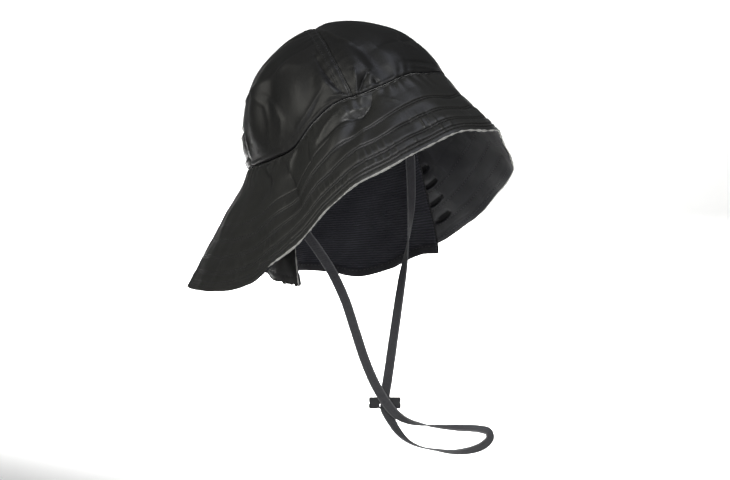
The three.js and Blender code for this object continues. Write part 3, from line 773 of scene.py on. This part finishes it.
# %% Flap surface
FLAP_ENDS = 85, 275
FLAP_UV = 1.45  # mm to a degree on the UV map
FLAP_ANGLES = np.array([85, 97, 106, 113, 135, 180, 225, 240, 255, 262, 268, 275], float)
FLAP_HEM = FLAP_ANGLES, np.array([-121, -121, -121, -118, -119, -128, -133.5, -137, -129, -121, -115, -113], float)
FLAP_OUT = FLAP_ANGLES, np.array([21, 14, 9, 7, 4, 2, 3, 6, 10, 14, 17, 21], float)
FLAP_FORWARD = FLAP_ANGLES, np.array([13, 4, 1, 0, 0, 0, 0, 0, 2, 4, 8, 13], float)
FLAP_INSET = 4
FLAP_CLOTH = 1.2
LINING_DEPTH = 1.5
LINING_CLOTH = 1.8
BAND_DEPTH = 3.6
BAND_CLOTH = 1.0
BAND_HEIGHT = 9
RIB_PITCH = 2.6
HEM_ROWS_SEWN = (1.8, 7.4)
BAND_ROW_SEWN = 7.2


def flap_place(angle, share, height):
    """A place of the flap: the seam's place, tipped, moved out as a quarter sine on the way down, swung forward
    with the square of the way, with a wave that grows towards the hem, which is ragged at the right ear. Height
    is measured outwards."""
    top = tipped(seam(angle) - outward(angle) * FLAP_INSET)
    wave = 2 * np.sin(9 * angle * DEGREE) * share
    stand = read(FLAP_OUT, angle) * np.sin(share * math.pi / 2) + wave + height
    place = top + outward(angle) * stand[..., None]
    place[..., 1] -= read(FLAP_FORWARD, angle) * share**2
    ragged = 0.7 * (np.sin(87 * angle * DEGREE) + np.sin(141 * angle * DEGREE)) * smooth(102 - angle, 0, 6)
    place[..., 2] = top[..., 2] * (1 - share) + (read(FLAP_HEM, angle) + ragged * share**12) * share
    return place


def flap_face(angle, share, height):
    """A place of the flap on one of its layers, with the unevenness that all layers share: soft dents that grow
    towards the hem."""
    place = flap_place(angle, share, 0.0)
    uneven = (0.7 * rumple(place, 44, 41) + 0.3 * rumple(place, 18, 42)) * smooth(share, 0.05, 0.5)
    return flap_place(angle, share, uneven + height)


def flap_grid(columns, rows, start=0.0):
    """Angles across the flap and shares down it, with each place's distances in mm. A start is where a band
    begins, in mm over the hem."""
    across, share = np.meshgrid(np.linspace(*FLAP_ENDS, columns), np.linspace(0, 1, rows))
    drop = np.maximum(-read(FLAP_HEM, across), 60)
    first = 1 - start / drop if start else 0.0
    share = first + (1 - first) * share
    return across, share, np.stack([across * FLAP_UV, share * drop], -1), (1 - share) * drop


# %% Flap, lining and hem band
angle, share, measure, over_hem = flap_grid(150, 90)
sewn = sum(0.35 * bell(over_hem - row, 0.7) for row in HEM_ROWS_SEWN)
flap = sheet_mesh(
    "flap_outer_cloth", flap_face(angle, share, -sewn), flap_face(angle, share, -FLAP_CLOTH), measure,
)
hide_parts("neck_flap")

angle, share, measure, over_hem = flap_grid(130, 240)
tension = rumple(flap_face(angle, share, 0.0), 13, 31)
ribs = (0.2 + 0.07 * tension) * np.cos(2 * math.pi * measure[..., 1] / RIB_PITCH + 0.9 * tension)
ribs *= smooth(over_hem, BAND_HEIGHT, BAND_HEIGHT + 1)
lining = sheet_mesh(
    "flap_ribbed_lining", flap_face(angle, share, -LINING_DEPTH),
    flap_face(angle, share, 0.1 - LINING_DEPTH - LINING_CLOTH - ribs), measure,
)
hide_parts("flap_lining")

angle, share, measure, over_hem = flap_grid(150, 14, BAND_HEIGHT)
rolled = 0.35 * np.exp(-over_hem / 0.8) + 0.45 * np.exp(-(BAND_HEIGHT - over_hem) / 0.8)
sewn = 0.3 * bell(over_hem - BAND_ROW_SEWN, 0.6)
band = sheet_mesh(
    "flap_hem_band", flap_face(angle, share, -BAND_DEPTH),
    flap_face(angle, share, rolled + sewn - BAND_DEPTH - BAND_CLOTH), measure,
)
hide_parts("flap_binding")

# %% Flap's raw front edges
flap_edges = []
for name, at in zip(("flap_edge_right", "flap_edge_left"), FLAP_ENDS):
    share = np.linspace(0.02, 1, 160)
    angle = np.full(160, float(at))
    line = flap_face(angle, share, -0.6)
    thick = outward(angle)
    broad = unit(np.cross(thick, unit(np.gradient(line, axis=0))))
    forward = np.where((broad[:, 1] > 0)[:, None], -broad, broad)
    flap_edges.append(edge_cord(name, line + forward * 0.2, forward, thick, 0.42))
flap_width = run(flap_place(np.linspace(*FLAP_ENDS, 200), 0.5, 0.0))[-1]
share, angle = np.meshgrid(np.linspace(0, 1, 60), np.linspace(*FLAP_ENDS, 40))
flap_length = np.linalg.norm(np.diff(flap_place(angle, share, 0.0), axis=1), axis=2).sum(1).mean()
print(f"the flap is {flap_width:.0f} mm across and {flap_length:.0f} mm long")

# %% [markdown]
# ## Stitches
# Polyester thread, charcoal on the brim and black elsewhere, about five stitches to 17 mm. Each stitch is a spindle
# that dips into the cloth at both ends. One spindle is drawn once and copied along every sewn row as whole arrays,
# turned to the row's direction and to the cloth's way out. The thread is drawn a third thicker than the real one so
# that it shows.

# %% Stitch helper
STITCH_PITCH = 3.4
STITCH_LENGTH = 2.5
THREAD_RADIUS = 0.32


def spindle():
    """Places and faces of one stitch along X: three six-sided rings and two tips that dip."""
    a = np.linspace(0, 2 * math.pi, 6, endpoint=False)
    sizes = ((-0.34, 0.8, 0.1), (0, 1, 0.35), (0.34, 0.8, 0.1))
    rings = [np.stack([np.full(6, x), np.cos(a) * r, np.sin(a) * r + z], 1) for x, r, z in sizes]
    places = np.vstack(rings + [[(-0.5, 0, -0.8), (0.5, 0, -0.8)]])
    k = np.arange(6)
    nxt = (k + 1) % 6
    sides = [np.stack([k + 6 * r, nxt + 6 * r, nxt + 6 * r + 6, k + 6 * r + 6], 1) for r in (0, 1)]
    tips = [np.stack([np.full(6, 18), nxt, k], 1), np.stack([np.full(6, 19), k + 12, nxt + 12], 1)]
    return places, np.vstack(sides), np.vstack(tips)


def sew(name, rows):
    """Stitches along rows, each row a line of places and the ways out there. Even steps are measured along it."""
    shape, sides, tips = spindle()
    centres, alongs, outs = [], [], []
    for line, out in rows:
        reach = run(line)
        at = np.arange(STITCH_PITCH, reach[-1] - STITCH_PITCH / 2, STITCH_PITCH)
        pick = lambda values, where: np.stack([np.interp(where, reach, values[:, k]) for k in range(3)], 1)
        centres.append(pick(line, at))
        alongs.append(pick(line, at + 0.8) - pick(line, at - 0.8))
        outs.append(pick(out, at))
    centre, along, out = (np.vstack(part) for part in (centres, alongs, outs))
    along = unit(along)
    side = unit(np.cross(out, along))
    out = np.cross(along, side)
    scaled = shape * [STITCH_LENGTH, THREAD_RADIUS, THREAD_RADIUS]
    places = centre[:, None] + scaled @ np.stack([along, side, out], 1)
    first = (np.arange(len(centre)) * len(shape))[:, None, None]
    faces = (sides[None] + first).reshape(-1, 4).tolist() + (tips[None] + first).reshape(-1, 3).tolist()
    piece = smooth_object(name, places * MM, faces)
    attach(piece, "root")
    print(f"{name}: {len(centre)} stitches")
    return piece


# %% Sewn rows
crown_rows = []
share = np.linspace(0.01, 0.96, 260)
for gore, (first, last) in GORES.items():
    width = crown_place(float(first), share, 0.0)[2] * (last - first) * DEGREE
    for row in GORE_ROWS_SEWN:
        wide = width > 2.4 * row
        crown_rows.append(gore_place(gore, row / width[wide], share[wide]))
crown_thread = sew("crown_topstitching", crown_rows)

round_hat = np.linspace(0, 360, 1800)
length = read(BRIM_LENGTH, round_hat)
brim_rows = [brim_place(round_hat[row_weight(row, length) > 0.5], row, "upper") for row in BRIM_ROWS_SEWN]
brim_rows.append(brim_place(round_hat, length - SEAM_ROW_SEWN, "upper"))
brim_thread = sew("brim_topstitching", brim_rows)

under_rows = [brim_place(round_hat, row, "facing") for row in UNDER_ROWS_SEWN]
under_thread = sew("underside_stitching", [(line, -way) for line, way in under_rows])

flap_rows = []
angle = np.linspace(FLAP_ENDS[0] + 1, FLAP_ENDS[1] - 1, 900)
for row in HEM_ROWS_SEWN:
    share = 1 + row / read(FLAP_HEM, angle)
    flap_rows.append((flap_face(angle, share, -0.3), outward(angle)))
share = 1 + BAND_ROW_SEWN / read(FLAP_HEM, angle)
flap_rows.append((flap_face(angle, share, 0.2 - BAND_DEPTH - BAND_CLOTH), -outward(angle)))
flap_thread = sew("flap_stitching", flap_rows)

# %% [markdown]
# ## Materials
# Every finish starts from what the real one is, with its colours as hex values and its patterns in real sizes.
# One helper adds a node with its settings and links.

# %% Material helpers
def linear(code):
    """A hex colour as the linear light values that a shader wants."""
    values = [int(code[k : k + 2], 16) / 255 for k in (1, 3, 5)]
    return [v / 12.92 if v <= 0.04045 else ((v + 0.055) / 1.055) ** 2.4 for v in values] + [1.0]


def add(tree, kind, inputs, stops=(), **settings):
    """Adds a node with its settings and a ramp's stops in hex colours, sets or links its inputs by name or number,
    and gives its output: the factor if it has one, or else the first that is in use."""
    made = tree.nodes.new(kind)
    for name, value in settings.items():
        setattr(made, name, value)
    for stop, code in enumerate(stops):
        made.color_ramp.elements[stop].color = linear(code)
    for name, value in inputs.items():
        if isinstance(value, bpy.types.NodeSocket):
            tree.links.new(value, made.inputs[name])
        else:
            made.inputs[name].default_value = value
    return made.outputs.get("Fac") or next((output for output in made.outputs if output.enabled), None)


def new_material(name):
    """An empty material, its node tree and each point's place on the object."""
    made = bpy.data.materials.new(name)
    made.use_nodes = True
    made.node_tree.nodes.clear()
    return made, made.node_tree, made.node_tree.nodes.new("ShaderNodeTexCoord").outputs["Object"]


# %% [markdown]
# ** Coated cotton.** Woven cotton with a polyurethane coat, rolled on and cured: an oilskin. The coat is smooth and
# a little waxy, so highlights are broad but clear, and handling leaves it duller in patches. Ridges are painted a
# little paler, as rubbed wear, and valleys darker, as painted shade in creases and seams, and the brim's copy is
# painted paler than the crown's, as painted light on the upturned brim. The fine grain of the weave still shows
# through. Real threads are 0.4 mm apart, which a picture of this size can't show, so the grain is drawn at 1.2 mm.

# %% Coated cotton
def coated_cotton(name, dark, light, low, high, grain_height):
    made, tree, where = new_material(name)
    patches = add(tree, "ShaderNodeTexNoise", {"Vector": where, "Scale": 24, "Detail": 4, "Roughness": 0.6})
    handled = add(tree, "ShaderNodeTexNoise", {"Vector": where, "Scale": 60, "Detail": 5, "Roughness": 0.65})
    grain = add(tree, "ShaderNodeTexNoise", {"Vector": where, "Scale": 850, "Detail": 2})
    ripple = add(tree, "ShaderNodeTexNoise", {"Vector": where, "Scale": 130, "Detail": 3, "Roughness": 0.55})
    fine = add(tree, "ShaderNodeBump", {"Height": grain, "Strength": 0.5, "Distance": grain_height * MM})
    normal = add(tree, "ShaderNodeBump", {"Height": ripple, "Strength": 0.5, "Distance": 0.2 * MM, "Normal": fine})
    # Pointiness paints the ridges paler, as rubbed wear, and the valleys darker, as painted shade in creases,
    # grooves and seams.
    fold = add(tree, "ShaderNodeMapRange", {
        "Value": tree.nodes.new("ShaderNodeNewGeometry").outputs["Pointiness"],
        "From Min": 0.46, "From Max": 0.54, "To Min": 0.45, "To Max": 1.55,
    })
    cloth = add(tree, "ShaderNodeValToRGB", {"Fac": patches}, (dark, light))
    worn_and_shaded = add(
        tree, "ShaderNodeMix", {"Factor": 1, "A": cloth, "B": fold}, data_type="RGBA", blend_type="MULTIPLY",
    )
    roughness = add(tree, "ShaderNodeMapRange", {"Value": handled, "To Min": low, "To Max": high})
    coat = add(tree, "ShaderNodeBsdfPrincipled", {
        "Base Color": worn_and_shaded, "Roughness": roughness, "Normal": normal, "IOR": 1.5,
    })
    add(tree, "ShaderNodeOutputMaterial", {"Surface": coat})
    return made


# The brim's copy is paler than the crown's: painted light for the upturned brim, which catches more of the lamps.
BRIM_COATED = coated_cotton("coated_cotton_painted_paler", "#292927", "#32322f", 0.3, 0.46, 0.08)
COATED = coated_cotton("coated_cotton_black", "#1b1b1b", "#262624", 0.33, 0.5, 0.08)
MATT = coated_cotton("matt_facing_cotton", "#1a1a1d", "#252529", 0.6, 0.8, 0.12)

# %% [markdown]
# ** Plain fibres.** Where the coated cloth is cut, its uncoated back shows: pale, rough cotton with short loose
# fibres, greyed by the black coat. The threads are darker and smoother. The dyed back of the upper cloth is near
# black, darker and duller than all the rest; it dresses the inner faces, and inside the gaps under the brim and on
# the turned edges at the seam it is painted shade.

# %% Raw cotton edge, threads and the dark back, also laid as painted shade
def plain_fibre(name, dark, light, pitch, rough, height, sheen):
    made, tree, where = new_material(name)
    fibres = add(tree, "ShaderNodeTexNoise", {
        "Vector": where, "Scale": 1000 / pitch, "Detail": 4, "Roughness": 0.7,
    })
    fibre = add(tree, "ShaderNodeBsdfPrincipled", {
        "Base Color": add(tree, "ShaderNodeValToRGB", {"Fac": fibres}, (dark, light)), "Roughness": rough,
        "Normal": add(tree, "ShaderNodeBump", {"Height": fibres, "Strength": 0.8, "Distance": height * MM}),
        "IOR": 1.47, "Sheen Weight": sheen, "Sheen Roughness": 0.5,
    })
    add(tree, "ShaderNodeOutputMaterial", {"Surface": fibre})
    return made


RAW_EDGE = plain_fibre("cut_cotton_backing", "#85857f", "#e6e5de", 2.5, 0.9, 0.15, 0.1)
THREAD = plain_fibre("polyester_thread", "#262626", "#424243", 1.5, 0.55, 0.05, 0.1)
DARK_THREAD = plain_fibre("black_polyester_thread", "#252527", "#3c3c3e", 1.5, 0.55, 0.05, 0.1)
# Near black: the cloth's back on inner faces, and painted shade where it is laid on outer faces.
BACK_AND_SHADE = plain_fibre("black_cotton_back_and_painted_shade", "#080809", "#101012", 1.2, 0.95, 0.1, 0.05)

# %% [markdown]
# **Ribbed knit.** The lining is a brushed knit with ribs 2.6 mm apart that run round the head. The rib pattern
# follows the cloth's own measure, so it reads the UV map, in which one unit is 100 mm. A brushed knit catches light
# at a grazing angle, which is sheen.

# %% Ribbed knit and woven tape
def wave_scale(pitch):
    """The wave texture's scale for one wave in a pitch in mm: it draws one in 2 pi / 20 of its scaled input."""
    return 2 * math.pi / 20 / (pitch / UV_UNIT)


def ribbed_knit():
    made, tree, where = new_material("brushed_ribbed_knit")
    cloth = add(tree, "ShaderNodeUVMap", {}, uv_map="cloth")
    ribs = add(tree, "ShaderNodeTexWave", {
        "Vector": cloth, "Scale": wave_scale(RIB_PITCH), "Distortion": 1.6, "Detail": 3, "Detail Scale": 3.0,
    }, wave_type="BANDS", bands_direction="Y")
    stretched = add(tree, "ShaderNodeMapping", {"Vector": cloth, "Scale": (18, 150, 1)})
    fluff = add(tree, "ShaderNodeTexNoise", {"Vector": stretched, "Scale": 1, "Detail": 4, "Roughness": 0.7})
    mixed = add(tree, "ShaderNodeMath", {0: ribs, 1: fluff}, operation="MULTIPLY")
    knit = add(tree, "ShaderNodeBsdfPrincipled", {
        "Base Color": add(tree, "ShaderNodeValToRGB", {"Fac": mixed}, ("#26272b", "#505058")), "Roughness": 0.9,
        "Normal": add(tree, "ShaderNodeBump", {"Height": mixed, "Strength": 0.9, "Distance": 0.6 * MM}),
        "IOR": 1.5, "Sheen Weight": 0.25, "Sheen Roughness": 0.4,
    })
    add(tree, "ShaderNodeOutputMaterial", {"Surface": knit})
    return made


def woven_tape():
    """Cotton tape: weft ridges 1.1 mm apart across it, and paler selvedges where the weft turns back."""
    made, tree, where = new_material("woven_cotton_tape")
    cloth = add(tree, "ShaderNodeUVMap", {}, uv_map="cloth")
    across = add(tree, "ShaderNodeSeparateXYZ", {"Vector": cloth})
    off = add(tree, "ShaderNodeMath", {0: across}, operation="ABSOLUTE")
    edge = add(tree, "ShaderNodeMapRange", {"Value": off, "From Min": 0.029, "From Max": 0.039})
    weft = add(tree, "ShaderNodeTexWave", {
        "Vector": cloth, "Scale": wave_scale(1.1), "Distortion": 0.8, "Detail": 2,
    }, wave_type="BANDS", bands_direction="DIAGONAL")
    fuzz = add(tree, "ShaderNodeTexNoise", {"Vector": where, "Scale": 420, "Detail": 4, "Roughness": 0.7})
    woven = add(tree, "ShaderNodeValToRGB", {"Fac": fuzz}, ("#3d3d3f", "#565658"))
    pale = add(tree, "ShaderNodeMix", {"Factor": edge, "A": woven, "B": linear("#727273")}, data_type="RGBA")
    tape = add(tree, "ShaderNodeBsdfPrincipled", {
        "Base Color": pale, "Roughness": 0.85,
        "Normal": add(tree, "ShaderNodeBump", {"Height": weft, "Strength": 0.7, "Distance": 0.2 * MM}),
        "IOR": 1.47, "Sheen Weight": 0.15, "Sheen Roughness": 0.5,
    })
    add(tree, "ShaderNodeOutputMaterial", {"Surface": tape})
    return made


def moulded_acetal():
    """Moulded acetal: dense, a little waxy, with the mould's fine spark texture."""
    made, tree, where = new_material("moulded_black_acetal")
    spark = add(tree, "ShaderNodeTexNoise", {"Vector": where, "Scale": 2200, "Detail": 2})
    plastic = add(tree, "ShaderNodeBsdfPrincipled", {
        "Base Color": add(tree, "ShaderNodeValToRGB", {"Fac": spark}, ("#262627", "#343436")), "Roughness": 0.38,
        "Normal": add(tree, "ShaderNodeBump", {"Height": spark, "Strength": 0.4, "Distance": 0.04 * MM}),
        "IOR": 1.48,
    })
    add(tree, "ShaderNodeOutputMaterial", {"Surface": plastic})
    return made


KNIT, TAPE, ACETAL = ribbed_knit(), woven_tape(), moulded_acetal()

# %% Dress the pieces
# The second finish of crown, brim, facing and flap is the dark back: their inner faces, and painted shade where it
# is laid on the outer side.
DRESS = {
    (chin_strap,): (TAPE,), (slider_upper, slider_lower): (ACETAL,),
    tuple(crown.values()): (COATED, BACK_AND_SHADE, COATED), (brim,): (BRIM_COATED, BACK_AND_SHADE, BRIM_COATED),
    (facing,): (MATT, BACK_AND_SHADE, MATT), (flap,): (COATED, BACK_AND_SHADE, COATED), (lining,): (BACK_AND_SHADE, KNIT, KNIT),
    (band,): (MATT, MATT, MATT), (rim_edge, flap_edges[0]): (RAW_EDGE,), (rear_edge, flap_edges[1]): (COATED,),
    (brim_thread,): (THREAD,), (crown_thread, under_thread, flap_thread): (DARK_THREAD,),
}
for group, finishes in DRESS.items():
    for piece in group:
        for finish in finishes:
            piece.data.materials.append(finish)
print("materials:", len(bpy.data.materials))

# %% [markdown]
# ## Light and backdrop
# A roll of pale paper, 1.9 m wide, runs under the hat and up to a wall 3 m behind it. Black coated cloth shows its
# shape by what it mirrors, so four soft boxes stand where the photograph's highlights come from: a large one at the
# left, a small one above the camera, a cool one overhead and a wide strip at the front. The paper is narrow and far
# off, so that little of the black outline mirrors it, and two boxes of its own make it white. The room is dim grey.

# %% Backdrop
FLOOR = -0.345


def paper_sweep():
    """Floor, bend and wall in one sheet: the profile runs level, round a quarter circle and straight up."""
    bend = np.linspace(0, math.pi / 2, 24)
    away = np.concatenate([[-1.6, 0, 1.2], 2.4 + 0.6 * np.sin(bend), [3.0]])
    high = np.concatenate([[0, 0, 0], 0.6 - 0.6 * np.cos(bend), [0.8]])
    side, k = np.meshgrid(np.linspace(-0.95, 0.95, 5), np.arange(len(away)))
    depth = unit(-back * [1, 1, 0])
    places = side[..., None] * right + away[k][..., None] * depth + (high[k][..., None] + FLOOR) * PLUMB
    index = np.arange(side.size).reshape(side.shape)
    sweep = smooth_object("paper_sweep", places, corners(index).reshape(-1, 4).tolist())
    return sweep


paper, tree, where = new_material("pale_background_paper")
tooth = add(tree, "ShaderNodeTexNoise", {"Vector": where, "Scale": 3, "Detail": 2})
pulp = add(tree, "ShaderNodeBsdfPrincipled", {
    "Base Color": add(tree, "ShaderNodeValToRGB", {"Fac": tooth}, ("#f1f1ef", "#f5f5f4")), "Roughness": 0.9,
    "Specular IOR Level": 0.1,
})
add(tree, "ShaderNodeOutputMaterial", {"Surface": pulp})
paper_sweep().data.materials.append(paper)

# %% Lights
def soft_box(name, place, target, size, power, colour, spread=180):
    """A rectangular light at a place, facing a target, both in metres on the camera's right, the plumb line and the
    camera's back direction. A honeycomb grid in front of it narrows its spread in degrees."""
    light = bpy.data.lights.new(name, "AREA")
    light.shape = "RECTANGLE"
    light.size, light.size_y = size
    light.energy = power
    light.color = linear(colour)[:3]
    light.spread = spread * DEGREE
    stand(in_scene(name, light), *(np.array(point) @ [right, PLUMB, back] for point in (place, target)))


soft_box("key_box", (-1.55, 0.55, 0.9), (0, 0, 0), (1.1, 1.1), 7.5, "#fffdf4")
soft_box("front_box", (-0.1, 1.15, 1.8), (0, 0, 0), (0.5, 0.35), 14, "#ffffff")
soft_box("fill_box", (0.5, -0.1, 2.0), (0, -0.1, 0), (1.6, 0.5), 7, "#f6f6ff")
soft_box("sky_box", (0.32, 1.75, 0.6), (0, 0, 0), (0.9, 0.8), 4.5, "#e8ecff")
soft_box("backdrop_box", (0, 1.1, -1.5), (0, 0.0, -3.0), (1.8, 0.6), 36, "#ffffff")
soft_box("floor_box", (0, 0.3, -1.35), (0, -0.4, -1.35), (1.8, 2.0), 46, "#ffffff", 70)
room = bpy.data.worlds.new("room")
room.use_nodes = True
glow = room.node_tree.nodes["Background"].inputs
glow["Color"].default_value = linear("#f4f6f8")
glow["Strength"].default_value = 0.1
bpy.context.scene.world = room
bpy.context.scene.view_settings.view_transform = "Standard"
